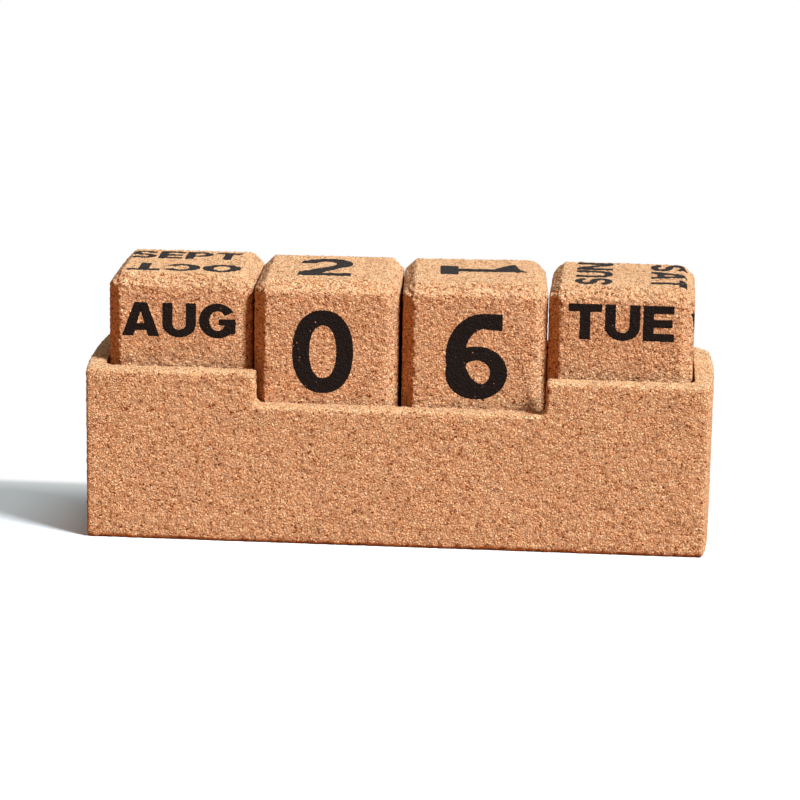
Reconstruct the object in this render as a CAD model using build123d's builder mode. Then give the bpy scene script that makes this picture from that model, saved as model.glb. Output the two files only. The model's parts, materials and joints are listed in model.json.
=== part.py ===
from build123d import *
import os
from math import cos, radians, sin

# Perpetual block calendar: a cork tray and the row of four cork cubes that stand in it.
#
# Millimetres, +Z up.  The tray's long front face looks along -Y and X runs along the row.  The
# origin is the middle of the tray's underside.

# The cubes
cube_side = 45.0
cube_chamfer = 3.7
month_turn = 0.6             # degrees about Z, as the cubes were set down by hand
tens_turn = 1.6
units_turn = 3.0
weekday_turn = -0.6

# Play of the cubes in the pocket
side_gap = 0.4               # least gap between two cubes, and between a cube and an end wall
front_gap = 0.4              # least gap between a cube and the front wall
back_gap = 0.4               # least gap between a cube and the back wall
row_play = 1.2               # spare depth of the pocket, beyond the most turned cube

# The tray
front_wall = 7.5
back_wall = 5.0
end_wall = 4.6               # at the sharp front corners, where it is thinnest
end_bow = 1.8                # how far the end faces swell outwards past the front corners
rim_height = 54.4
notch_rim_height = 44.0
floor_height = 37.6          # solid cork under the cubes
notch_width = 90.2
notch_shift = 1.2            # the notch lies a little to the right of the middle
back_corner_radius = 12.0
base_round = 1.2             # worn edge round the underside
rim_round = 0.5              # worn edge round the rim
notch_top_round = 1.0        # where the tall ends of the front wall break off at the notch
notch_foot_round = 1.6       # left by the cutter in the notch's lower corners
pocket_corner_radius = 3.0


def half_span(turn):
    """Half the width of a cube with bevelled upright edges, turned by this many degrees."""
    half_face = cube_side / 2
    half_flat = half_face - cube_chamfer
    return half_face * cos(radians(turn)) + half_flat * abs(sin(radians(turn)))


def spacing(turn, next_turn):
    """Distance between the middles of two neighbouring cubes that just clear each other."""
    half_face = cube_side / 2
    half_flat = half_face - cube_chamfer
    straight = half_face * cos(radians(turn)) + half_face * cos(radians(next_turn))
    skew = half_flat * abs(sin(radians(turn - next_turn)))
    return straight + skew + side_gap


# The row, from the inside of the left end wall
month_reach = side_gap + half_span(month_turn)
tens_reach = month_reach + spacing(month_turn, tens_turn)
units_reach = tens_reach + spacing(tens_turn, units_turn)
weekday_reach = units_reach + spacing(units_turn, weekday_turn)
pocket_length = weekday_reach + half_span(weekday_turn) + side_gap
pocket_left = -pocket_length / 2
month_x = pocket_left + month_reach
tens_x = pocket_left + tens_reach
units_x = pocket_left + units_reach
weekday_x = pocket_left + weekday_reach

# The tray's plan, from the pocket outwards
widest_span = 2 * max(half_span(turn) for turn in (month_turn, tens_turn, units_turn, weekday_turn))
pocket_depth = front_gap + widest_span + row_play + back_gap
tray_depth = front_wall + pocket_depth + back_wall
front_y = -tray_depth / 2
back_y = tray_depth / 2
pocket_front = front_y + front_wall
pocket_back = back_y - back_wall
corner_x = pocket_length / 2 + end_wall
bowed_x = corner_x + end_bow
notch_left = notch_shift - notch_width / 2
notch_right = notch_shift + notch_width / 2

# The tens cube stands against the front wall, the other three against the back wall
month_y = pocket_back - back_gap - half_span(month_turn)
tens_y = pocket_front + front_gap + half_span(tens_turn)
units_y = pocket_back - back_gap - half_span(units_turn)
weekday_y = pocket_back - back_gap - half_span(weekday_turn)

# The tray: a block with bowed ends and round back corners
with BuildPart() as tray:
    with BuildSketch(Plane.XY) as plan:
        with BuildLine():
            Line((-corner_x, front_y), (corner_x, front_y))
            ThreePointArc((corner_x, front_y), (bowed_x, 0), (corner_x, back_y))
            Line((corner_x, back_y), (-corner_x, back_y))
            ThreePointArc((-corner_x, back_y), (-bowed_x, 0), (-corner_x, front_y))
        make_face()
        fillet(plan.vertices().group_by(Axis.Y)[-1], radius=back_corner_radius)
    extrude(amount=rim_height)
    fillet(tray.faces().sort_by(Axis.Z)[0].edges(), radius=base_round)
    fillet(tray.faces().sort_by(Axis.Z)[-1].edges(), radius=rim_round)

    # The pocket that the row of cubes stands in
    with BuildSketch(Plane.XY.offset(floor_height)):
        with Locations((0, (pocket_front + pocket_back) / 2)):
            RectangleRounded(pocket_length, pocket_depth, pocket_corner_radius)
    extrude(amount=rim_height - floor_height, mode=Mode.SUBTRACT)

    # The notch in the front wall, before the two number cubes
    with BuildSketch(Plane.XZ.offset(-front_y)) as notch:
        with Locations((notch_shift, notch_rim_height)):
            Rectangle(notch_width, rim_height, align=(Align.CENTER, Align.MIN))
        fillet(notch.vertices().group_by(Axis.Y)[0], radius=notch_foot_round)
    extrude(amount=-(front_wall + pocket_corner_radius), mode=Mode.SUBTRACT)

    # The broken corners at the top of the notch
    notch_corners = (
        tray.edges().filter_by(Axis.Y).group_by(Axis.Z)[-1]
        .filter_by_position(Axis.X, notch_left, notch_right)
    )
    fillet(notch_corners, radius=notch_top_round)

tray.part.label = "tray"


def cork_cube(name, x, y, turn):
    """One bevelled cube on the pocket's floor, turned about the upright axis."""
    row_direction = (cos(radians(turn)), sin(radians(turn)), 0)
    with BuildPart(Plane(origin=(x, y, floor_height), x_dir=row_direction)) as cube:
        Box(cube_side, cube_side, cube_side, align=(Align.CENTER, Align.CENTER, Align.MIN))
        chamfer(cube.edges(), length=cube_chamfer)
    cube.part.label = name
    return cube


month_cube = cork_cube("month_cube", month_x, month_y, month_turn)
tens_cube = cork_cube("tens_cube", tens_x, tens_y, tens_turn)
units_cube = cork_cube("units_cube", units_x, units_y, units_turn)
weekday_cube = cork_cube("weekday_cube", weekday_x, weekday_y, weekday_turn)

os.makedirs("parts", exist_ok=True)
export_step(tray.part, "parts/tray.step")
export_step(month_cube.part, "parts/month_cube.step")
export_step(tens_cube.part, "parts/tens_cube.step")
export_step(units_cube.part, "parts/units_cube.step")
export_step(weekday_cube.part, "parts/weekday_cube.step")

print("pocket", round(pocket_length, 2), "x", round(pocket_depth, 2))
print("tray", round(2 * bowed_x, 2), "x", round(tray_depth, 2), "front wall from", round(front_y, 2))
for cube, x, y in (
    (month_cube, month_x, month_y),
    (tens_cube, tens_x, tens_y),
    (units_cube, units_x, units_y),
    (weekday_cube, weekday_x, weekday_y),
):
    print(cube.part.label, "stands at", round(x, 2), round(y, 2), floor_height)
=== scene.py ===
"""Looks of the cork block calendar: granular cork, printed marks, plain studio.

Everything is in metres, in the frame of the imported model: +X along the row of cubes, the long
front face towards -Y, the tray's underside on z = 0.
"""
import json
import logging
import math
from dataclasses import dataclass, field
from enum import Enum
from typing import Callable, Sequence

import bpy
import numpy as np
from mathutils import Matrix, Vector

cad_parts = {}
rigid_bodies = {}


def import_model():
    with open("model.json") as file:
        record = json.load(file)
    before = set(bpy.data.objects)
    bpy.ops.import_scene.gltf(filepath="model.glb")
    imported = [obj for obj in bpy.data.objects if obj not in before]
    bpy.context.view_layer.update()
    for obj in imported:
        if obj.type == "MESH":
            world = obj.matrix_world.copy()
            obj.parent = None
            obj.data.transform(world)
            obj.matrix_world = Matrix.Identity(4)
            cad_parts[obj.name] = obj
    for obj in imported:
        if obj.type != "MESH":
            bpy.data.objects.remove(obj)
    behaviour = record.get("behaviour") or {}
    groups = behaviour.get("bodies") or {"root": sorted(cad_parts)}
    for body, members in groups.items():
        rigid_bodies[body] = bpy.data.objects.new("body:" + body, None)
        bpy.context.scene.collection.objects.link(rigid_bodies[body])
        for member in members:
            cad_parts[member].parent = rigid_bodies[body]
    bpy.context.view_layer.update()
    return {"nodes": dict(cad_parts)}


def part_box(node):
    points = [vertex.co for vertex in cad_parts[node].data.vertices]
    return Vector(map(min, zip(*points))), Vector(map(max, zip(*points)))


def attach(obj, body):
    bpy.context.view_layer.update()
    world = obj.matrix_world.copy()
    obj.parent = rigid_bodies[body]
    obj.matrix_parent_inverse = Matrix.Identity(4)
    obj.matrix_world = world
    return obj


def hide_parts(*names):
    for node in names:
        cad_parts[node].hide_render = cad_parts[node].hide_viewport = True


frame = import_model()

LOG = logging.getLogger("calendar")
MM = 0.001

EDGE_GROUP = "worn_edges"
BARE_GROUP = "bare_cork"
THIN_GROUP = "thinned"
INK_ATTRIBUTE = "ink_distance"
INK_REACH = 1.0 * MM  # the stored distance runs this far to either side of a print's edge

Colour = tuple[float, float, float, float]
Point = tuple[float, float]
Shape = Callable[[np.ndarray], np.ndarray]


def rgb(red: float, green: float, blue: float) -> Colour:
    """Returns an opaque linear colour."""
    return (red, green, blue, 1.0)


# ----------------------------------------------------------------------------------------------
# Lettering: each glyph is a signed distance, in cap heights, negative inside the stroke
# ----------------------------------------------------------------------------------------------
def poly(*corners: Point) -> Shape:
    """Makes a filled polygon.

    Args:
        corners: its corners in order, either way round.

    Returns:
        The polygon's signed distance.
    """
    ring = np.array(corners)

    def distance(points: np.ndarray) -> np.ndarray:
        """Distance to the polygon's outline, negative inside it."""
        nearest = np.full(len(points), np.inf)
        inside = np.zeros(len(points), dtype=bool)
        for start, end in zip(ring, np.roll(ring, -1, axis=0)):
            edge = end - start
            along = np.clip((points - start) @ edge / (edge @ edge), 0.0, 1.0)
            gap = np.linalg.norm(points - start - along[:, None] * edge, axis=1)
            nearest = np.minimum(nearest, gap)
            straddles = (start[1] > points[:, 1]) != (end[1] > points[:, 1])
            if edge[1] != 0.0:
                crossing = start[0] + (points[:, 1] - start[1]) * edge[0] / edge[1]
                inside ^= straddles & (points[:, 0] < crossing)
        return np.where(inside, -nearest, nearest)

    return distance


def box(left: float, low: float, right: float, high: float) -> Shape:
    """Makes an upright rectangle."""
    return poly((left, low), (right, low), (right, high), (left, high))


def oval(centre: Point, radii: Point, square: float = 2.0) -> Shape:
    """Makes a filled oval; square above 2 makes its shoulders fuller."""

    def distance(points: np.ndarray) -> np.ndarray:
        """Distance to the oval, near enough to its outline."""
        scaled = np.abs((points - np.array(centre)) / np.array(radii))
        return (np.sum(scaled**square, axis=1) ** (1.0 / square) - 1.0) * min(radii)

    return distance


def join(*shapes: Shape) -> Shape:
    """Joins shapes into one."""
    return lambda points: np.min([shape(points) for shape in shapes], axis=0)


def minus(shape: Shape, *holes: Shape) -> Shape:
    """Cuts holes out of a shape."""
    return lambda points: np.max([shape(points)] + [-hole(points) for hole in holes], axis=0)


def bowl(centre: Point, radii: Point, weight: Point, square: float = 2.0) -> Shape:
    """Makes an oval ring of strokes.

    Args:
        centre: middle of the ring.
        radii: outer half width and half height.
        weight: thickness of the stroke at the sides, and at the top and foot.
        square: above 2, fuller shoulders.

    Returns:
        The ring's signed distance.
    """
    inner = (radii[0] - weight[0], radii[1] - weight[1])
    return minus(oval(centre, radii, square), oval(centre, inner, square))


@dataclass(frozen=True)
class Glyph:
    """One character: its width in cap heights, and its shape."""

    width: float
    shape: Shape


STEM = 0.28
BEAM = 0.225
WORD_GAP = 0.075
DIGIT_GAP = 0.14


def capital_letters() -> dict[str, Glyph]:
    """Draws the heavy plain capitals that the months and weekdays need."""
    stem = box(0, 0, STEM, 1)
    foot, head, waist = 0.0, 1.0, 0.5
    half = BEAM / 2
    round_o = bowl((0.515, 0.5), (0.515, 0.515), (0.29, 0.225))
    p_bowl = minus(
        join(box(0.1, 0.33, 0.5, 1), oval((0.5, 0.665), (0.37, 0.335))),
        join(box(STEM, 0.545, 0.5, 0.785), oval((0.5, 0.665), (0.115, 0.12))),
    )
    upper_s = minus(
        bowl((0.43, 0.705), (0.41, 0.31), (0.27, 0.205)),
        box(0.43, 0.0, 1.0, 0.64),
        poly((0.43, 0.66), (1.0, 0.50), (1.0, 0.80)),
    )
    lower_s = minus(
        bowl((0.44, 0.295), (0.43, 0.31), (0.27, 0.205)),
        box(-0.2, 0.36, 0.44, 1.0),
        poly((0.44, 0.34), (-0.2, 0.50), (-0.2, 0.20)),
    )
    u_foot = minus(bowl((0.46, 0.38), (0.46, 0.395), (STEM, 0.23)), box(-1, 0.38, 2, 2))
    return {
        "A": Glyph(1.03, minus(
            poly((0, 0), (0.345, 1), (0.685, 1), (1.03, 0)),
            poly((0.29, -0.1), (0.36, 0.17), (0.67, 0.17), (0.74, -0.1)),
            poly((0.515, 0.74), (0.41, 0.375), (0.62, 0.375)),
        )),
        "B": Glyph(0.92, minus(
            join(box(0, 0, 0.5, 1), oval((0.48, 0.735), (0.39, 0.265)), oval((0.5, 0.29), (0.42, 0.29))),
            join(box(STEM, 0.61, 0.48, 0.80), oval((0.48, 0.705), (0.12, 0.095))),
            join(box(STEM, 0.20, 0.5, 0.41), oval((0.5, 0.305), (0.14, 0.105))),
        )),
        "C": Glyph(0.96, minus(
            bowl((0.5, 0.5), (0.5, 0.515), (0.29, 0.225)),
            poly((0.44, 0.5), (1.3, 0.12), (1.3, 0.88)),
        )),
        "D": Glyph(0.96, minus(
            join(box(0, 0, 0.43, 1), minus(oval((0.43, 0.5), (0.53, 0.5)), box(-1, 0, 0, 1))),
            join(box(STEM, BEAM, 0.43, 1 - BEAM), minus(
                oval((0.43, 0.5), (0.245, 0.5 - BEAM)), box(-1, 0, STEM, 1))),
        )),
        "E": Glyph(0.82, join(
            stem, box(0, foot, 0.82, BEAM), box(0, waist - half, 0.77, waist + half),
            box(0, head - BEAM, 0.81, head))),
        "F": Glyph(0.78, join(
            stem, box(0, 0.43, 0.72, 0.43 + BEAM), box(0, head - BEAM, 0.78, head))),
        "G": Glyph(1.02, join(
            minus(bowl((0.51, 0.5), (0.51, 0.515), (0.29, 0.225)),
                  poly((0.42, 0.52), (1.3, 0.44), (1.3, 0.94))),
            box(0.54, 0.37, 1.0, 0.56), box(0.76, 0.12, 1.0, 0.56))),
        "H": Glyph(0.98, join(stem, box(0.98 - STEM, 0, 0.98, 1), box(0, 0.5 - half, 0.98, 0.5 + half))),
        "I": Glyph(STEM, stem),
        "J": Glyph(0.76, join(
            box(0.48, 0.34, 0.76, 1),
            minus(bowl((0.38, 0.36), (0.38, 0.375), (STEM, 0.23)), box(-1, 0.36, 2, 2)))),
        "L": Glyph(0.77, join(stem, box(0, foot, 0.77, BEAM))),
        "M": Glyph(1.16, join(
            stem, box(1.16 - STEM, 0, 1.16, 1),
            poly((0, 1), (0.36, 1), (0.58, 0.38), (0.80, 1), (1.16, 1), (0.72, 0), (0.44, 0)))),
        "N": Glyph(1.0, join(
            stem, box(1.0 - STEM, 0, 1.0, 1), poly((0, 1), (0.30, 1), (1.0, 0), (0.70, 0)))),
        "O": Glyph(1.03, round_o),
        "P": Glyph(0.87, join(stem, p_bowl)),
        "R": Glyph(0.98, join(stem, p_bowl, poly((0.32, 0.42), (0.62, 0.46), (0.98, 0), (0.65, 0)))),
        "S": Glyph(0.87, join(upper_s, lower_s)),
        "T": Glyph(0.89, join(
            box(0.445 - STEM / 2, 0, 0.445 + STEM / 2, 1), box(0, head - BEAM, 0.89, head))),
        "U": Glyph(0.92, join(box(0, 0.37, STEM, 1), box(0.92 - STEM, 0.37, 0.92, 1), u_foot)),
        "V": Glyph(1.0, poly((0, 1), (0.31, 1), (0.5, 0.34), (0.69, 1), (1.0, 1), (0.66, 0), (0.34, 0))),
        "W": Glyph(1.46, poly(
            (0, 1), (0.28, 1), (0.42, 0.40), (0.60, 1), (0.86, 1), (1.04, 0.40), (1.18, 1), (1.46, 1),
            (1.20, 0), (0.90, 0), (0.73, 0.56), (0.56, 0), (0.26, 0))),
        "Y": Glyph(0.98, poly(
            (0, 1), (0.33, 1), (0.49, 0.64), (0.65, 1), (0.98, 1), (0.63, 0.40), (0.63, 0), (0.35, 0),
            (0.35, 0.40))),
    }


def plain_digits() -> dict[str, Glyph]:
    """Draws the bold plain digits of the two date cubes."""
    side, level = 0.20, 0.18
    six_left = minus(bowl((0.45, 0.5), (0.45, 0.5), (0.225, level), 2.05), box(0.45, -1, 2, 2))
    six = join(
        six_left,
        bowl((0.36, 0.31), (0.36, 0.31), (side, 0.165), 2.05),
        poly((0.44, 1.0), (0.655, 0.995), (0.655, 0.80), (0.44, 1 - level)),
    )
    return {
        "0": Glyph(0.73, bowl((0.365, 0.5), (0.365, 0.5), (0.205, 0.185), 2.2)),
        "1": Glyph(0.51, join(
            box(0.16, 0, 0.33, 0.9), box(0, 0, 0.51, 0.21),
            poly((0.33, 1.0), (0.26, 1.0), (0.16, 0.89), (0.33, 0.8)),
            poly((0.17, 0.93), (-0.13, 0.87), (-0.13, 0.84), (0.17, 0.62)))),
        "2": Glyph(0.68, join(
            minus(bowl((0.33, 0.69), (0.34, 0.31), (0.215, level), 2.2), box(-1, -1, 0.33, 0.70),
                  poly((0.0, 0.2), (0.9, 0.2), (0.62, 0.55), (0.2, 0.62)), box(-1, -1, 2, 0.52)),
            minus(bowl((0.33, 0.69), (0.34, 0.31), (0.215, level), 2.2), box(0.33, -1, 2, 2),
                  box(-1, -1, 2, 0.76)),
            poly((0.655, 0.60), (0.44, 0.60), (0.0, 0.20), (0.0, 0.0), (0.16, 0.0), (0.30, 0.17)),
            box(0, 0, 0.68, 0.17))),
        "3": Glyph(0.66, join(
            minus(bowl((0.29, 0.74), (0.33, 0.26), (side, 0.165)), box(-1, 0.40, 0.30, 0.82)),
            minus(bowl((0.29, 0.285), (0.37, 0.285), (0.21, 0.17)), box(-1, 0.19, 0.30, 1.0)),
            box(0.14, 0.45, 0.36, 0.60))),
        "4": Glyph(0.76, minus(
            poly((0.40, 1), (0.63, 1), (0.63, 0.39), (0.76, 0.39), (0.76, 0.22), (0.63, 0.22), (0.63, 0),
                 (0.43, 0), (0.43, 0.22), (0, 0.22), (0, 0.40)),
            poly((0.43, 0.39), (0.43, 0.76), (0.18, 0.39)))),
        "5": Glyph(0.66, join(
            box(0.06, 0.83, 0.62, 1), box(0.06, 0.48, 0.25, 1),
            minus(bowl((0.28, 0.325), (0.38, 0.325), (0.21, 0.17)), box(-1, 0.20, 0.16, 0.52)))),
        "6": Glyph(0.72, six),
        "7": Glyph(0.68, join(
            box(0, 0.83, 0.68, 1), poly((0.44, 0.86), (0.68, 0.86), (0.68, 0.80), (0.32, 0), (0.09, 0)))),
        "8": Glyph(0.72, join(
            bowl((0.36, 0.745), (0.315, 0.255), (0.19, 0.155)),
            bowl((0.36, 0.28), (0.36, 0.28), (0.205, 0.17)))),
    }


class Lettering(Enum):
    """The two kinds of print on the cubes."""

    WORD = "word"
    DIGIT = "digit"


@dataclass(frozen=True)
class Typeface:
    """A set of glyphs and the gap between them, in cap heights."""

    glyphs: dict[str, Glyph]
    gap: float

    def width(self, text: str) -> float:
        """Returns the width of a line of text."""
        return sum(self.glyphs[letter].width for letter in text) + self.gap * (len(text) - 1)

    def line(self, text: str) -> Shape:
        """Sets a line of text, centred on the origin both ways.

        Args:
            text: the characters to set.

        Returns:
            The signed distance of the whole line.
        """
        shapes: list[Shape] = []
        start = -self.width(text) / 2
        for letter in text:
            glyph = self.glyphs[letter]
            shapes.append(shifted(glyph.shape, (start, -0.5)))
            start += glyph.width + self.gap
        return join(*shapes)


def shifted(shape: Shape, by: Point) -> Shape:
    """Moves a shape."""
    return lambda points: shape(points - np.array(by))


TYPEFACES = {
    Lettering.WORD: Typeface(capital_letters(), WORD_GAP),
    Lettering.DIGIT: Typeface(plain_digits(), DIGIT_GAP),
}


class Face(Enum):
    """A cube's faces: outward normal, reading direction and upward direction."""

    FRONT = ((0, -1, 0), (1, 0, 0), (0, 0, 1))
    BACK = ((0, 1, 0), (-1, 0, 0), (0, 0, 1))
    LEFT = ((-1, 0, 0), (0, -1, 0), (0, 0, 1))
    RIGHT = ((1, 0, 0), (0, 1, 0), (0, 0, 1))
    TOP = ((0, 0, 1), (1, 0, 0), (0, 1, 0))
    UNDER = ((0, 0, -1), (1, 0, 0), (0, -1, 0))


@dataclass(frozen=True)
class Mark:
    """One printed word or digit.

    Attributes:
        text: what it says.
        face: the face that it is printed on.
        turn: degrees that it is turned on the face, anticlockwise as read from outside.
        lift: distance of its middle above the face's middle, in its own upward direction.
        height: cap height.
        lettering: word or digit.
        stretch: width of the letters, over their drawn width.
        shift: distance of its middle to the right of the face's middle, as it is read.
    """

    text: str
    face: Face
    turn: float = 0.0
    lift: float = 0.0
    height: float = 27.0 * MM
    lettering: Lettering = Lettering.DIGIT
    stretch: float = 1.0
    shift: float = 0.0

    def distance(self, local: np.ndarray) -> np.ndarray:
        """Measures how far points of a cube's surface lie from the print's edge.

        Args:
            local: the points, in the cube's own frame, from its middle.

        Returns:
            Signed distances in metres, negative in the ink.
        """
        normal, across, up = (np.array(axis, dtype=float) for axis in self.face.value)
        seen = np.column_stack((local @ across, local @ up))
        angle = math.radians(self.turn)
        turned = seen @ np.array(((math.cos(angle), -math.sin(angle)), (math.sin(angle), math.cos(angle))))
        own = (turned - np.array((self.shift, self.lift))) / self.height
        own[:, 0] /= self.stretch
        return TYPEFACES[self.lettering].line(self.text)(own) * self.height


# ----------------------------------------------------------------------------------------------
# Cork relief
# ----------------------------------------------------------------------------------------------
@dataclass(frozen=True)
class ReliefLayer:
    """One layer of unevenness, worked into the surface from outside.

    Attributes:
        name: what the layer is.
        kind: Blender's texture type.
        size: size of its grains.
        depth: how deep it goes at most.
        settings: further settings of the texture.
        edges_only: whether it is kept to worn edges.
    """

    name: str
    kind: str
    size: float
    depth: float
    settings: tuple[tuple[str, float | str], ...] = ()
    edges_only: bool = False

    def press_into(self, piece: bpy.types.Object) -> None:
        """Sinks this layer into a piece's mesh."""
        texture = bpy.data.textures.new(f"{piece.name}_{self.name}", self.kind)
        texture.noise_scale = self.size
        for setting, value in self.settings:
            setattr(texture, setting, value)
        select_only(piece)
        bpy.ops.object.modifier_add(type="DISPLACE")
        sink = piece.modifiers[-1]
        sink.texture = texture
        sink.texture_coords = "LOCAL"
        sink.mid_level = 0.0
        sink.strength = -self.depth
        if self.edges_only:
            sink.vertex_group = EDGE_GROUP
        elif BARE_GROUP in piece.vertex_groups:
            sink.vertex_group = BARE_GROUP
        bpy.ops.object.modifier_apply(modifier=sink.name)


CUBE_RELIEF = (
    ReliefLayer("granules", "VORONOI", 1.35 * MM, 0.18 * MM, (("noise_intensity", 1.0),)),
    ReliefLayer("pits", "CLOUDS", 1.15 * MM, 0.22 * MM, (("contrast", 3.0), ("intensity", 0.38))),
    ReliefLayer("swells", "CLOUDS", 6.0 * MM, 0.10 * MM),
    ReliefLayer("chips", "CLOUDS", 1.5 * MM, 0.55 * MM, (("contrast", 3.0), ("intensity", 0.55)), True),
)
TRAY_RELIEF = (
    ReliefLayer("granules", "VORONOI", 1.8 * MM, 0.16 * MM, (("noise_intensity", 1.0),)),
    ReliefLayer("pits", "CLOUDS", 1.7 * MM, 0.20 * MM, (("contrast", 3.0), ("intensity", 0.36))),
    ReliefLayer("swells", "CLOUDS", 9.0 * MM, 0.10 * MM),
    ReliefLayer("chips", "CLOUDS", 1.9 * MM, 0.35 * MM, (("contrast", 2.6), ("intensity", 0.6)), True),
)


def select_none() -> None:
    """Deselects everything."""
    for other in bpy.context.view_layer.objects:
        other.select_set(False)


def select_only(piece: bpy.types.Object) -> None:
    """Selects this object alone, and makes it the active one."""
    select_none()
    piece.select_set(True)
    bpy.context.view_layer.objects.active = piece


def positions(mesh: bpy.types.Mesh) -> np.ndarray:
    """Returns a mesh's vertices as an array."""
    flat = np.empty(len(mesh.vertices) * 3, dtype=np.float64)
    mesh.vertices.foreach_get("co", flat)
    return flat.reshape(-1, 3)


def remesh(piece: bpy.types.Object, pitch: float) -> None:
    """Rebuilds a closed piece as an even skin of small quads."""
    select_only(piece)
    bpy.ops.object.modifier_add(type="REMESH")
    skin = piece.modifiers[-1]
    skin.mode = "VOXEL"
    skin.voxel_size = pitch
    bpy.ops.object.modifier_apply(modifier=skin.name)


def soften(piece: bpy.types.Object, passes: int) -> None:
    """Rounds a piece's sharp edges a little."""
    select_only(piece)
    bpy.ops.object.modifier_add(type="SMOOTH")
    rub = piece.modifiers[-1]
    rub.factor = 0.5
    rub.iterations = passes
    bpy.ops.object.modifier_apply(modifier=rub.name)


def keep_within(piece: bpy.types.Object, low: Sequence[float], high: Sequence[float]) -> None:
    """Holds a piece's vertices inside a box."""
    spots = np.clip(positions(piece.data), np.array(low), np.array(high))
    piece.data.vertices.foreach_set("co", spots.ravel())
    piece.data.update()


def group_of(piece: bpy.types.Object, name: str, weights: np.ndarray, steps: int = 8) -> None:
    """Writes a vertex group, in a few steps of weight."""
    group = piece.vertex_groups.new(name=name)
    level = np.rint(np.clip(weights, 0.0, 1.0) * steps).astype(int)
    for step in range(1, steps + 1):
        members = np.flatnonzero(level == step)
        if len(members):
            group.add(members.tolist(), step / steps, "REPLACE")


def thin(piece: bpy.types.Object, choose: Callable[[np.ndarray], np.ndarray], kept: float) -> None:
    """Thins one region of a mesh, and leaves the rest.

    Args:
        piece: the object.
        choose: picks the region's vertices from their positions.
        kept: share of the region's faces that stays.
    """
    region = choose(positions(piece.data))
    group_of(piece, THIN_GROUP, region.astype(float))
    select_only(piece)
    bpy.ops.object.modifier_add(type="DECIMATE")
    fewer = piece.modifiers[-1]
    fewer.ratio = 1.0 - float(region.mean()) * (1.0 - kept)
    fewer.vertex_group = THIN_GROUP
    fewer.vertex_group_factor = 10.0
    bpy.ops.object.modifier_apply(modifier=fewer.name)
    piece.vertex_groups.remove(piece.vertex_groups[THIN_GROUP])


# ----------------------------------------------------------------------------------------------
# Finishes
# ----------------------------------------------------------------------------------------------
class Graph:
    """A small helper that adds and wires shader nodes in one node tree."""

    def __init__(self, tree: bpy.types.NodeTree) -> None:
        """Keeps the tree that nodes are added to."""
        self.tree = tree

    def add(self, kind: str, inputs: dict[str, object] | None = None, **settings: object) -> bpy.types.Node:
        """Adds a node.

        Args:
            kind: the node's type, without the leading ShaderNode.
            inputs: values or sockets for its inputs, by name or number.
            settings: the node's own settings.

        Returns:
            The new node.
        """
        node = self.tree.nodes.new("ShaderNode" + kind)
        for name, value in settings.items():
            setattr(node, name, value)
        for name, value in (inputs or {}).items():
            socket = node.inputs[int(name[1:])] if name.startswith("#") else node.inputs[name]
            if isinstance(value, bpy.types.NodeSocket):
                self.tree.links.new(value, socket)
            else:
                socket.default_value = value
        return node

    def math(
        self, operation: str, first: object, second: object = 0.0, clamp: bool = False
    ) -> bpy.types.NodeSocket:
        """Adds a Math node and returns its result."""
        node = self.add("Math", {"#0": first, "#1": second}, operation=operation, use_clamp=clamp)
        return node.outputs[0]

    def span(self, value: object, low: float, high: float, start: float = 0.0, end: float = 1.0,
             smooth: bool = True) -> bpy.types.NodeSocket:
        """Maps low..high onto start..end, clamped."""
        node = self.add(
            "MapRange",
            {"Value": value, "From Min": low, "From Max": high, "To Min": start, "To Max": end},
            interpolation_type="SMOOTHSTEP" if smooth else "LINEAR",
        )
        return node.outputs["Result"]

    def mix(self, factor: object, first: object, second: object, blend: str = "MIX") -> bpy.types.NodeSocket:
        """Mixes two colours."""
        node = self.add("Mix", {"#0": factor, "#6": first, "#7": second}, data_type="RGBA", blend_type=blend)
        return node.outputs[2]

    def ramp(self, value: object, stops: Sequence[tuple[float, Colour]]) -> bpy.types.NodeSocket:
        """Adds a colour ramp."""
        node = self.add("ValToRGB", {"Fac": value})
        node.color_ramp.interpolation = "LINEAR"
        elements = node.color_ramp.elements
        while len(elements) < len(stops):
            elements.new(0.5)
        for element, (place, colour) in zip(elements, stops):
            element.position = place
            element.color = colour
        return node.outputs["Color"]


@dataclass(frozen=True)
class CorkTones:
    """The colours of agglomerated cork, from its gaps, whose tone holds painted shade, to its palest
    granules.
    """

    # Gap tone: the dark joints between granules, deepened into painted shade for the gaps and pits.
    gap: Colour = rgb(0.10, 0.022, 0.004)
    bark: Colour = rgb(0.26, 0.090, 0.030)
    brown: Colour = rgb(0.70, 0.360, 0.170)
    tan: Colour = rgb(0.86, 0.530, 0.295)
    honey: Colour = rgb(0.91, 0.600, 0.355)
    cream: Colour = rgb(0.96, 0.730, 0.500)


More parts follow.
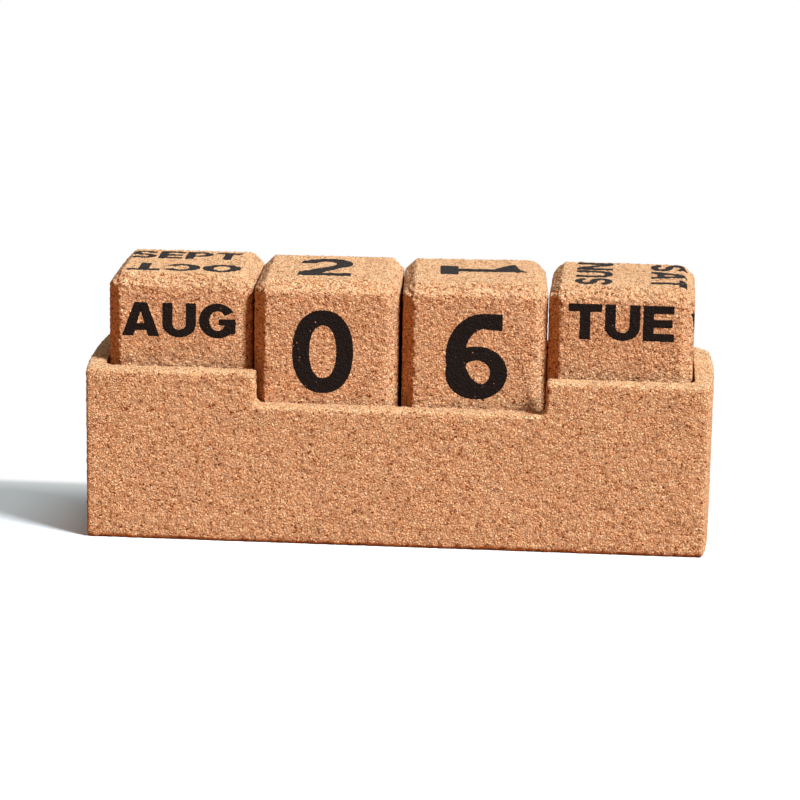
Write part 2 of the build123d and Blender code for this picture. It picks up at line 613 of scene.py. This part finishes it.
def granule_group(tones: CorkTones) -> bpy.types.NodeTree:
    """Builds the shader group that every cork surface uses.

    Args:
        tones: the cork's colours.

    Returns:
        The group: granule size, gap and shade strength and mottling in; colour, with painted shade in the
            gaps and pits, and height out.
    """
    tree = bpy.data.node_groups.new("cork_granules", "ShaderNodeTree")
    for name, value in (("Granule size", 1.1 * MM), ("Gap and shade strength", 0.7), ("Mottling", 0.5)):
        socket = tree.interface.new_socket(name, in_out="INPUT", socket_type="NodeSocketFloat")
        socket.default_value = value
    tree.interface.new_socket("Color", in_out="OUTPUT", socket_type="NodeSocketColor")
    tree.interface.new_socket("Height", in_out="OUTPUT", socket_type="NodeSocketFloat")
    graph = Graph(tree)
    given = tree.nodes.new("NodeGroupInput")
    result = tree.nodes.new("NodeGroupOutput")

    place = graph.add("TexCoord").outputs["Object"]
    density = graph.math("DIVIDE", 1.0, given.outputs["Granule size"])
    warp = graph.add(
        "TexNoise", {"Vector": place, "Scale": graph.math("MULTIPLY", density, 0.8), "Detail": 2.0})
    push = graph.add(
        "VectorMath", {"#0": warp.outputs["Color"], "#1": (0.5, 0.5, 0.5)}, operation="SUBTRACT")
    reach = graph.math("MULTIPLY", given.outputs["Granule size"], 1.1)
    push = graph.add("VectorMath", {"#0": push.outputs[0], "Scale": reach}, operation="SCALE")
    bent = graph.add("VectorMath", {"#0": place, "#1": push.outputs[0]}, operation="ADD").outputs[0]

    coarse = graph.add("TexVoronoi", {"Vector": bent, "Scale": density})
    fine = graph.add("TexVoronoi", {"Vector": bent, "Scale": graph.math("MULTIPLY", density, 1.8)})
    seam = graph.add("TexVoronoi", {"Vector": bent, "Scale": density}, feature="DISTANCE_TO_EDGE")
    fine_seam = graph.add(
        "TexVoronoi", {"Vector": bent, "Scale": graph.math("MULTIPLY", density, 1.8)},
        feature="DISTANCE_TO_EDGE")
    grit = graph.add(
        "TexNoise",
        {"Vector": place, "Scale": graph.math("MULTIPLY", density, 1.7), "Detail": 3.0, "Roughness": 0.65})
    drift = graph.add(
        "TexNoise", {"Vector": place, "Scale": graph.math("MULTIPLY", density, 0.12), "Detail": 2.0})
    hollow = graph.add(
        "TexNoise", {"Vector": bent, "Scale": graph.math("MULTIPLY", density, 1.15), "Detail": 1.5})

    coarse_pick = graph.add("SeparateColor", {"Color": coarse.outputs["Color"]})
    fine_pick = graph.add("SeparateColor", {"Color": fine.outputs["Color"]})
    pick = graph.math("ADD", graph.math("MULTIPLY", coarse_pick.outputs[0], 0.5),
                      graph.math("MULTIPLY", fine_pick.outputs[0], 0.5))
    tone = graph.ramp(pick, (
        (0.0, tones.bark), (0.08, tones.bark), (0.18, tones.brown), (0.34, tones.tan),
        (0.62, tones.honey), (0.88, tones.honey), (0.98, tones.cream)))
    speck = graph.span(grit.outputs["Fac"], 0.34, 0.66, -0.5, 0.5, smooth=False)
    speck = graph.math("MULTIPLY", speck, given.outputs["Mottling"])
    tone = graph.mix(1.0, tone, graph.add("CombineColor", {
        "Red": graph.math("ADD", graph.math("MULTIPLY", speck, 0.55), 1.0),
        "Green": graph.math("ADD", graph.math("MULTIPLY", speck, 0.85), 1.0),
        "Blue": graph.math("ADD", speck, 1.0)}).outputs["Color"], "MULTIPLY")
    wash = graph.span(drift.outputs["Fac"], 0.3, 0.7, 0.94, 1.05, smooth=False)
    tone = graph.mix(1.0, tone, graph.add("CombineColor", {
        "Red": wash, "Green": wash, "Blue": wash}).outputs["Color"], "MULTIPLY")

    patches = graph.add(
        "TexNoise", {"Vector": place, "Scale": graph.math("MULTIPLY", density, 0.27), "Detail": 1.0})
    warm = graph.span(patches.outputs["Fac"], 0.36, 0.64)
    tone = graph.mix(1.0, tone, graph.mix(warm, rgb(1.0, 1.02, 1.03), rgb(1.0, 0.96, 0.93)), "MULTIPLY")

    # Cracks, hairlines and pits take the gap tone: partly the dark joints between granules, partly painted
    # shade in these hollows.
    crack = graph.span(seam.outputs["Distance"], 0.0, 0.10, 1.0, 0.0)
    crack = graph.math("MULTIPLY", crack, graph.span(grit.outputs["Fac"], 0.40, 0.62))
    hair = graph.span(fine_seam.outputs["Distance"], 0.0, 0.09, 1.0, 0.0)
    hair = graph.math("MULTIPLY", hair, graph.span(grit.outputs["Fac"], 0.62, 0.40))
    pit = graph.span(hollow.outputs["Fac"], 0.62, 0.68)
    gaps = graph.math("MAXIMUM", graph.math("MAXIMUM", crack, graph.math("MULTIPLY", hair, 0.6)), pit)
    shade = graph.math("MULTIPLY", gaps, given.outputs["Gap and shade strength"])
    tone = graph.mix(shade, tone, tones.gap)

    dome = graph.span(coarse.outputs["Distance"], 0.0, 0.75, 1.0, 0.0)
    small_dome = graph.span(fine.outputs["Distance"], 0.0, 0.75, 1.0, 0.0)
    height = graph.math("ADD", graph.math("MULTIPLY", dome, 0.50), graph.math("MULTIPLY", small_dome, 0.30))
    height = graph.math("ADD", height, graph.math("MULTIPLY", grit.outputs["Fac"], 0.60))
    height = graph.math("SUBTRACT", height, graph.math("MULTIPLY", gaps, 0.8))
    tree.links.new(tone, result.inputs["Color"])
    tree.links.new(height, result.inputs["Height"])
    return tree


def ink_group() -> bpy.types.NodeTree:
    """Builds the shader group that says where ink lies, from the print's stored distance.

    Returns:
        The group: ragged edge width and missing specks in; ink mask out.
    """
    tree = bpy.data.node_groups.new("printed_ink", "ShaderNodeTree")
    for name, value in (("Ragged", 0.16), ("Missing", 0.76)):
        socket = tree.interface.new_socket(name, in_out="INPUT", socket_type="NodeSocketFloat")
        socket.default_value = value
    tree.interface.new_socket("Ink", in_out="OUTPUT", socket_type="NodeSocketFloat")
    graph = Graph(tree)
    given = tree.nodes.new("NodeGroupInput")
    result = tree.nodes.new("NodeGroupOutput")
    place = graph.add("TexCoord").outputs["Object"]
    stored = graph.add("Attribute", attribute_name=INK_ATTRIBUTE, attribute_type="GEOMETRY").outputs["Fac"]
    fray = graph.add("TexNoise", {"Vector": place, "Scale": 1.0 / (0.8 * MM), "Detail": 2.0}).outputs["Fac"]
    fray = graph.math("MULTIPLY", graph.math("SUBTRACT", fray, 0.5), given.outputs["Ragged"])
    mask = graph.span(graph.math("ADD", stored, fray), 0.485, 0.515)
    speck = graph.add("TexNoise", {"Vector": place, "Scale": 1.0 / (0.95 * MM), "Detail": 1.0}).outputs["Fac"]
    lost = graph.span(speck, given.outputs["Missing"], graph.math("ADD", given.outputs["Missing"], 0.03))
    tree.links.new(
        graph.math("MULTIPLY", mask, graph.math("SUBTRACT", 1.0, lost), clamp=True), result.inputs["Ink"])
    return tree


PAINTED_BOUNCE_TINT = rgb(0.90, 0.62, 0.42)  # painted bounce light: diffuse bounce rays see the cork this much more orange, which deepens its shaded sides
CORK_SHEEN = 0.12
INK_ROUGHNESS = 0.70


@dataclass(frozen=True)
class CorkFinish:
    """Bare or printed agglomerated cork.

    Attributes:
        granule: size of its granules.
        gap_and_shade_strength: how dark the gaps between them look, their dark joints and painted shade
            together.
        mottling: how much each granule varies.
        roughness: roughness of the cork.
        relief: depth of the finest unevenness.
        tint: what the cork's colours are multiplied with.
        ink: colour of the ink, on a printed piece.
    """

    granule: float
    gap_and_shade_strength: float
    mottling: float
    roughness: float
    relief: float
    tint: Colour
    ink: Colour | None = None

    def material(
        self, name: str, granules: bpy.types.NodeTree, print_mask: bpy.types.NodeTree
    ) -> bpy.types.Material:
        """Builds the material.

        Args:
            name: the material's name.
            granules: the shared cork group.
            print_mask: the shared ink group.

        Returns:
            The finished material.
        """
        material = bpy.data.materials.new(name)
        material.use_nodes = True
        tree = material.node_tree
        tree.nodes.clear()
        graph = Graph(tree)
        cork = graph.add("Group", node_tree=granules)
        cork.inputs["Granule size"].default_value = self.granule
        cork.inputs["Gap and shade strength"].default_value = self.gap_and_shade_strength
        cork.inputs["Mottling"].default_value = self.mottling
        colour = graph.mix(1.0, cork.outputs["Color"], self.tint, "MULTIPLY")
        rough: object = self.roughness
        if self.ink is not None:
            printed = graph.add("Group", node_tree=print_mask)
            mask = printed.outputs["Ink"]
            colour = graph.mix(mask, colour, self.ink)
            rough = graph.span(mask, 0.0, 1.0, self.roughness, INK_ROUGHNESS, smooth=False)
        # Painted bounce light: diffuse bounce rays see the cork in a deeper orange.
        painted_bounce_colour = graph.mix(1.0, colour, PAINTED_BOUNCE_TINT, "MULTIPLY")
        colour = graph.mix(graph.add("LightPath").outputs["Is Diffuse Ray"], colour, painted_bounce_colour)
        bump = graph.add(
            "Bump", {"Strength": 1.0, "Distance": self.relief, "Height": cork.outputs["Height"]})
        shader = graph.add("BsdfPrincipled", {
            "Base Color": colour, "Roughness": rough, "Normal": bump.outputs["Normal"],
            "Specular IOR Level": CORK_SHEEN})
        out = graph.add("OutputMaterial")
        tree.links.new(shader.outputs["BSDF"], out.inputs["Surface"])
        return material


TRAY_FINISH = CorkFinish(0.90 * MM, 0.86, 0.6, 0.90, 0.48 * MM, tint=rgb(1.02, 0.985, 0.945))
CUBE_FINISH = CorkFinish(0.86 * MM, 0.86, 0.6, 0.90, 0.48 * MM, tint=rgb(1.0, 0.935, 0.895),
                          ink=rgb(0.011, 0.0065, 0.0055))


# ----------------------------------------------------------------------------------------------
# The pieces
# ----------------------------------------------------------------------------------------------
@dataclass
class CorkCube:
    """One bevelled, printed cork cube.

    Attributes:
        node: the CAD node that it stands for, and the name of its body.
        marks: the prints on its faces.
        rubs: how much its edges have been rubbed round.
        wear: how much its bevels have crumbled, from 0 to 1.
        pitch: spacing of its mesh.
        bevel: width of the bevel, measured along each face.
        swell: how far its granules stand out on each side, towards the next cube.
        crumbled: how far the crumbling reaches onto a face, past the bevel.
    """

    node: str
    marks: tuple[Mark, ...]
    rubs: int
    wear: float
    pitch: float = 0.38 * MM
    bevel: float = 3.7 * MM
    swell: float = 0.18 * MM
    crumbled: float = 0.9 * MM
    centre: Vector = field(init=False)
    side: float = field(init=False)
    turn: float = field(init=False)

    def __post_init__(self) -> None:
        """Reads the cube's place, size and turn from the frame."""
        low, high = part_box(self.node)
        self.centre = (low + high) / 2
        self.side = high.z - low.z
        mesh = frame["nodes"][self.node].data
        front = max(
            (face for face in mesh.polygons if -face.normal.y > 0.9), key=lambda face: face.area)
        self.turn = math.atan2(front.normal.x, -front.normal.y)

    def build(self, finish: bpy.types.Material) -> bpy.types.Object:
        """Models the cube, prints it and works the relief into it.

        Args:
            finish: the printed cork.

        Returns:
            The finished piece.
        """
        select_none()
        bpy.ops.mesh.primitive_cube_add(size=self.side, location=self.centre)
        piece = bpy.context.object
        piece.name = f"{self.node}_cork"
        bpy.ops.object.mode_set(mode="EDIT")
        bpy.ops.mesh.select_all(action="SELECT")
        bpy.ops.mesh.bevel(offset=self.bevel, offset_type="OFFSET", segments=1, affect="EDGES")
        bpy.ops.object.mode_set(mode="OBJECT")
        bpy.ops.object.transform_apply(location=True, rotation=True, scale=True)
        remesh(piece, self.pitch)
        soften(piece, self.rubs)
        self.print_marks(piece)
        self.wear_edges(piece)
        here = Matrix.Translation(self.centre)
        wider = Matrix.Diagonal((1.0 + 2 * self.swell / self.side, 1.0, 1.0, 1.0))
        piece.data.transform(here @ wider @ here.inverted())
        for layer in CUBE_RELIEF:
            layer.press_into(piece)
        reach = Vector((self.side / 2 + self.swell, self.side / 2, self.side / 2))
        keep_within(piece, self.centre - reach, self.centre + reach)
        piece.data.transform(here @ Matrix.Rotation(self.turn, 4, "Z") @ here.inverted())
        bpy.ops.object.shade_smooth()
        piece.data.materials.clear()
        piece.data.materials.append(finish)
        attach(piece, self.node)
        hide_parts(self.node)
        return piece

    def print_marks(self, piece: bpy.types.Object) -> None:
        """Stores at each vertex how far it lies from the edge of the nearest print."""
        local = positions(piece.data) - np.array(self.centre)
        ink = np.full(len(local), INK_REACH)
        for mark in self.marks:
            normal = np.array(mark.face.value[0], dtype=float)
            depth = self.side / 2 - local @ normal
            near = np.flatnonzero(depth < self.bevel * 0.98)
            ink[near] = np.minimum(ink[near], mark.distance(local[near]))
        stored = 0.5 - np.clip(ink, -INK_REACH, INK_REACH) / (2 * INK_REACH)
        attribute = piece.data.attributes.new(INK_ATTRIBUTE, "FLOAT", "POINT")
        attribute.data.foreach_set("value", stored.astype(np.float32))
        group_of(piece, BARE_GROUP, 1.0 - 0.55 * np.clip((stored - 0.3) / 0.4, 0.0, 1.0), steps=20)

    def wear_edges(self, piece: bpy.types.Object) -> None:
        """Marks the bevels, most of all the top front one, where the cork crumbles."""
        half = self.side / 2
        local = np.abs(positions(piece.data) - np.array(self.centre))
        from_face = np.sort(half - local, axis=1)
        past_bevel = np.maximum(from_face[:, 1] - self.bevel, 0.0)
        near = np.clip(1.0 - past_bevel / self.crumbled, 0.0, 1.0)
        leaning = (positions(piece.data) - np.array(self.centre)) @ np.array((0.0, -1.0, 1.0))
        exposed = np.clip((leaning - 1.45 * half) / (0.3 * half), 0.15, 1.0)
        group_of(piece, EDGE_GROUP, self.wear * near * exposed)


WELD = 0.001 * MM  # points of the solid's mesh that lie closer than this are one


@dataclass(frozen=True)
class CorkTray:
    """The stepped cork tray.

    Attributes:
        node: the CAD node that it stands for, and the name of its body.
        pitch: spacing of its mesh where it shows.
        under_kept: share of the faces kept on the underside.
        floor_kept: share of the faces kept on the pocket's floor and on the back.
        pocket_floor: height of the pocket's floor.
        rubs: how much its edges have been rubbed round.
        rim_wear: how far the rim's crumbling reaches.
        foot_wear: how far the crumbling at the foot of the front reaches.
    """

    node: str = "tray"
    pitch: float = 0.64 * MM
    under_kept: float = 0.12
    floor_kept: float = 0.5
    pocket_floor: float = 37.6 * MM
    rubs: int = 3
    rim_wear: float = 1.4 * MM
    foot_wear: float = 2.4 * MM

    def build(self, finish: bpy.types.Material) -> bpy.types.Object:
        """Rebuilds the tray's skin from its solid and works the relief into it.

        Args:
            finish: the bare cork.

        Returns:
            The finished piece.
        """
        piece = bpy.data.objects.new("tray_cork", frame["nodes"][self.node].data.copy())
        bpy.context.scene.collection.objects.link(piece)
        select_only(piece)
        bpy.ops.object.mode_set(mode="EDIT")
        bpy.ops.mesh.select_all(action="SELECT")
        bpy.ops.mesh.remove_doubles(threshold=WELD)
        bpy.ops.mesh.normals_make_consistent(inside=False)
        bpy.ops.object.mode_set(mode="OBJECT")
        remesh(piece, self.pitch)
        soften(piece, self.rubs)
        self.wear_edges(piece)
        for layer in TRAY_RELIEF:
            layer.press_into(piece)
        self.thin_hidden(piece)
        keep_within(piece, *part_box(self.node))
        bpy.ops.object.shade_smooth()
        piece.data.materials.clear()
        piece.data.materials.append(finish)
        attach(piece, self.node)
        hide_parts(self.node)
        return piece

    def wear_edges(self, piece: bpy.types.Object) -> None:
        """Marks the front edges of the tall rim and of the foot, where the cork crumbles."""
        low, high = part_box(self.node)
        spots = positions(piece.data)
        front = spots[:, 1] - low.y
        rim = high.z - spots[:, 2]
        top = np.clip(1.0 - (front + np.abs(rim)) / self.rim_wear, 0.0, 1.0)
        foot = np.clip(1.0 - (front + spots[:, 2] - low.z) / self.foot_wear, 0.0, 1.0)
        group_of(piece, EDGE_GROUP, np.maximum(top, foot))

    def thin_hidden(self, piece: bpy.types.Object) -> None:
        """Thins the mesh on the tray's underside, the pocket's floor and the tray's back."""
        low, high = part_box(self.node)
        thin(piece, lambda spots: spots[:, 2] < low.z + 0.4 * MM, self.under_kept)
        thin(piece, lambda spots: (
            (np.abs(spots[:, 2] - self.pocket_floor) < 0.6 * MM) & (np.abs(spots[:, 0]) < high.x - 8.0 * MM)
            & (spots[:, 1] > low.y + 9.0 * MM) & (spots[:, 1] < high.y - 6.5 * MM)), self.floor_kept)
        thin(piece, lambda spots: spots[:, 1] > high.y - 0.6 * MM, self.floor_kept)


WORD_HEIGHT = 11.3 * MM
PAIR_LIFT = 9.8 * MM


def word(text: str, face: Face, turn: float = 0.0, lift: float = 9.0 * MM, stretch: float = 1.04,
         shift: float = 0.0) -> Mark:
    """Prints a month or a weekday."""
    return Mark(text, face, turn, lift, WORD_HEIGHT, Lettering.WORD, stretch, shift)


def pair(upper: str, lower: str, face: Face, stretch: float = 1.0) -> tuple[Mark, Mark]:
    """Prints two words on one face, their feet towards its middle."""
    return (word(upper, face, 0.0, PAIR_LIFT, stretch), word(lower, face, 180.0, PAIR_LIFT, stretch))


MONTH_MARKS = (
    Mark("AUG", Face.FRONT, 0.0, 8.2 * MM, 10.8 * MM, Lettering.WORD, 1.06, -0.2 * MM),
    word("JULY", Face.FRONT, 180.0, 13.1 * MM),
    word("SEPT", Face.TOP, 0.0, PAIR_LIFT, 0.85, -1.8 * MM), word("OCT", Face.TOP, 180.0, PAIR_LIFT),
    *pair("NOV", "DEC", Face.LEFT, stretch=0.94),
    *pair("MAR", "APR", Face.RIGHT, stretch=0.90),
    *pair("JAN", "FEB", Face.BACK, stretch=0.98),
    *pair("MAY", "JUNE", Face.UNDER, stretch=0.92),
)
TENS_MARKS = (
    Mark("0", Face.FRONT, height=26.5 * MM, stretch=0.98, shift=-0.9 * MM),
    Mark("2", Face.TOP, stretch=0.90, shift=-1.3 * MM), Mark("1", Face.RIGHT, 90.0),
    Mark("3", Face.LEFT), Mark("4", Face.BACK), Mark("5", Face.UNDER),
)
UNITS_MARKS = (
    Mark("6", Face.FRONT, lift=-0.4 * MM, height=27.4 * MM, stretch=0.97, shift=0.6 * MM),
    Mark("1", Face.TOP, -90.0, lift=2.4 * MM), Mark("2", Face.RIGHT),
    Mark("7", Face.LEFT), Mark("0", Face.BACK), Mark("8", Face.UNDER, 90.0),
)
WEEKDAY_MARKS = (
    word("TUE", Face.FRONT, lift=11.7 * MM), word("SUN", Face.TOP, 90.0),
    word("SAT", Face.TOP, -90.0, 14.3 * MM), word("WED", Face.RIGHT), word("MON", Face.LEFT, stretch=0.90),
    word("THU", Face.BACK), word("FRI", Face.UNDER),
)


# ----------------------------------------------------------------------------------------------
# Studio
# ----------------------------------------------------------------------------------------------
@dataclass(frozen=True)
class SoftLamp:
    """A square area lamp.

    Attributes:
        name: the lamp's name.
        energy: its power in watts.
        size: length of its side.
        colour: its light's colour.
        place: where it hangs.
        aimed: whether it points at the origin, and not straight down.
    """

    name: str
    energy: float
    size: float
    colour: tuple[float, float, float]
    place: tuple[float, float, float]
    aimed: bool

    def hang(self) -> None:
        """Adds the lamp to the scene."""
        light = bpy.data.lights.new(self.name, "AREA")
        light.energy = self.energy
        light.size = self.size
        light.color = self.colour
        lamp = bpy.data.objects.new(self.name, light)
        lamp.location = Vector(self.place)
        if self.aimed:
            lamp.rotation_euler = Vector(self.place).to_track_quat("Z", "Y").to_euler()
        bpy.context.scene.collection.objects.link(lamp)


SENSOR_WIDTH = 36.0  # millimetres, as the camera counts them
PICTURE_WIDTH = 800.0

FILL = SoftLamp("fill", 4.5, 1.2, (1.0, 0.43, 0.19), (-0.25, -1.5, 0.7), aimed=True)
SKY = SoftLamp("sky", 5.0, 1.0, (0.46, 0.92, 1.0), (0.0, 0.5, 1.1), aimed=False)


@dataclass(frozen=True)
class Studio:
    """Floor, lamps and camera, as in the photograph.

    Attributes:
        camera_turn: degrees that the camera stands to the right of straight ahead.
        camera_rise: degrees that it looks down.
        camera_roll: degrees that it leans.
        camera_distance: from the point it looks at.
        focal_pixels: focal length, in pixels of an 800 pixel wide picture.
        aim: the point that it looks at.
        sun_turn: degrees from the right towards the front that the key light comes from.
        sun_rise: degrees above the floor that it comes from.
        sun_width: degrees that it spans, which softens its shadows.
        sun_energy: strength of the key light.
        shadow_painted_out_at: distance behind the middle of the tray at which painted white light fully
            covers its shadow.
        shadow_side: where, left of the tray, painted white light starts to cover its shadow, and where it
            reaches its full share.
        side_painted_light: how much painted white light covers the shadow there.
    """

    camera_turn: float = 3.87
    camera_rise: float = 13.73
    camera_roll: float = 0.954
    camera_distance: float = 1000.0 * MM
    focal_pixels: float = 3233.4
    aim: tuple[float, float, float] = (1.355 * MM, -30.7 * MM, 47.56 * MM)
    sun_turn: float = 28.5
    sun_rise: float = 45.5
    sun_width: float = 16.0
    sun_energy: float = 6.6
    shadow_painted_out_at: float = 35.0 * MM
    shadow_side: tuple[float, float] = (-98.0 * MM, -128.0 * MM)
    side_painted_light: float = 0.22

    def build(self) -> None:
        """Sets up the whole studio."""
        self.add_camera()
        self.add_floor()
        self.add_lamps()
        self.light_world()
        bpy.context.scene.view_settings.view_transform = "Standard"

    def add_camera(self) -> None:
        """Places the camera at the photograph's angle."""
        turn, rise, roll = (math.radians(v) for v in (self.camera_turn, self.camera_rise, self.camera_roll))
        back = Vector((math.sin(turn) * math.cos(rise), -math.cos(turn) * math.cos(rise), math.sin(rise)))
        right = (-back).cross(Vector((0, 0, 1))).normalized()
        up = right.cross(-back)
        leaning_right = right * math.cos(roll) + up * math.sin(roll)
        leaning_up = up * math.cos(roll) - right * math.sin(roll)
        eye = Vector(self.aim) + back * self.camera_distance
        data = bpy.data.cameras.new("camera")
        data.sensor_width = SENSOR_WIDTH
        data.lens = self.focal_pixels * data.sensor_width / PICTURE_WIDTH
        data.clip_start, data.clip_end = 0.05, 60.0
        camera = bpy.data.objects.new("camera", data)
        camera.matrix_world = Matrix((
            (leaning_right.x, leaning_up.x, back.x, eye.x),
            (leaning_right.y, leaning_up.y, back.y, eye.y),
            (leaning_right.z, leaning_up.z, back.z, eye.z),
            (0, 0, 0, 1)))
        bpy.context.scene.collection.objects.link(camera)
        bpy.context.scene.camera = camera

    def add_floor(self) -> None:
        """Lays a wide white floor that keeps the object's shadow near the tray, with painted white light over
        the shadow behind the tray and far to its left.
        """
        select_none()
        bpy.ops.mesh.primitive_plane_add(size=12.0, location=(0, 0, 0))
        floor = bpy.context.object
        floor.name = "floor"
        material = bpy.data.materials.new("floor_white")
        material.use_nodes = True
        tree = material.node_tree
        tree.nodes.clear()
        graph = Graph(tree)
        seen = graph.add("BsdfDiffuse", {"Color": rgb(0.80, 0.87, 0.94)})
        place = graph.add("SeparateXYZ", {"#0": graph.add("TexCoord").outputs["Object"]})
        # Painted white light: an emission is mixed into the floor behind the tray and far to its left,
        # covering the floor's shadow there.
        back = graph.math("DIVIDE", place.outputs["Y"], self.shadow_painted_out_at)
        painted_light_share = graph.ramp(back, (
            (0.0, rgb(0, 0, 0)), (0.38, rgb(0.10, 0.10, 0.10)), (0.55, rgb(0.20, 0.20, 0.20)),
            (0.76, rgb(0.36, 0.36, 0.36)), (0.86, rgb(0.46, 0.46, 0.46)), (1.0, rgb(1, 1, 1))))
        # White emission: the painted light that covers the shadow.
        clear = graph.add("Emission", {"Color": rgb(1, 1, 1), "Strength": 1.0})
        painted_light_aside = graph.span(place.outputs["X"], *self.shadow_side, 0.0, self.side_painted_light, smooth=False)
        painted_light_share = graph.math("MAXIMUM", painted_light_share, painted_light_aside)
        floor_with_painted_light = graph.add("MixShader", {"#0": painted_light_share, "#1": seen.outputs[0], "#2": clear.outputs[0]})
        # Painted bounce light: bounce rays see the floor dim brown instead of white, standing in for warm,
        # dim light bounced up onto the object.
        bounce = graph.add("BsdfDiffuse", {"Color": rgb(0.34, 0.13, 0.05)})
        camera = graph.add("LightPath").outputs["Is Camera Ray"]
        choice = graph.add("MixShader", {"#0": camera, "#1": bounce.outputs[0], "#2": floor_with_painted_light.outputs[0]})
        out = graph.add("OutputMaterial")
        tree.links.new(choice.outputs[0], out.inputs["Surface"])
        floor.data.materials.append(material)

    def add_lamps(self) -> None:
        """Adds the key light from the right, a warm fill from the front left and a cool top light."""
        turn, rise = math.radians(self.sun_turn), math.radians(self.sun_rise)
        towards = Vector((math.cos(turn) * math.cos(rise), -math.sin(turn) * math.cos(rise), math.sin(rise)))
        key = bpy.data.lights.new("key", "SUN")
        key.energy = self.sun_energy
        key.angle = math.radians(self.sun_width)
        lamp = bpy.data.objects.new("key", key)
        lamp.rotation_euler = towards.to_track_quat("Z", "Y").to_euler()
        bpy.context.scene.collection.objects.link(lamp)
        FILL.hang()
        SKY.hang()

    def light_world(self) -> None:
        """Gives the camera a white background, and the object a dim even light."""
        world = bpy.data.worlds.new("studio")
        bpy.context.scene.world = world
        world.use_nodes = True
        tree = world.node_tree
        tree.nodes.clear()
        graph = Graph(tree)
        rays = graph.add("LightPath")
        seen = graph.math("MAXIMUM", rays.outputs["Is Camera Ray"], rays.outputs["Is Glossy Ray"])
        seen = graph.math("MAXIMUM", seen, rays.outputs["Is Transmission Ray"])
        ambient = graph.add("Background", {"Color": rgb(1.0, 0.52, 0.28), "Strength": 0.14})
        backdrop = graph.add("Background", {"Color": rgb(1, 1, 1), "Strength": 1.0})
        choice = graph.add("MixShader", {
            "#0": seen, "#1": ambient.outputs[0], "#2": backdrop.outputs[0]})
        out = graph.add("OutputWorld")
        tree.links.new(choice.outputs[0], out.inputs["Surface"])


def main() -> None:
    """Builds the calendar and its studio."""
    logging.basicConfig(level=logging.INFO, format="%(message)s")
    granules = granule_group(CorkTones())
    print_mask = ink_group()
    bare = TRAY_FINISH.material("bare_cork", granules, print_mask)
    printed = CUBE_FINISH.material("printed_cork", granules, print_mask)
    pieces = [CorkTray().build(bare)]
    for node, marks, rubs, wear in (
        ("month_cube", MONTH_MARKS, 24, 1.0), ("tens_cube", TENS_MARKS, 8, 0.25),
        ("units_cube", UNITS_MARKS, 16, 0.9), ("weekday_cube", WEEKDAY_MARKS, 24, 1.0),
    ):
        pieces.append(CorkCube(node, marks, rubs, wear).build(printed))
    for piece in pieces:
        LOG.info("%s: %d vertices", piece.name, len(piece.data.vertices))
    Studio().build()


if __name__ == "__main__":
    main()
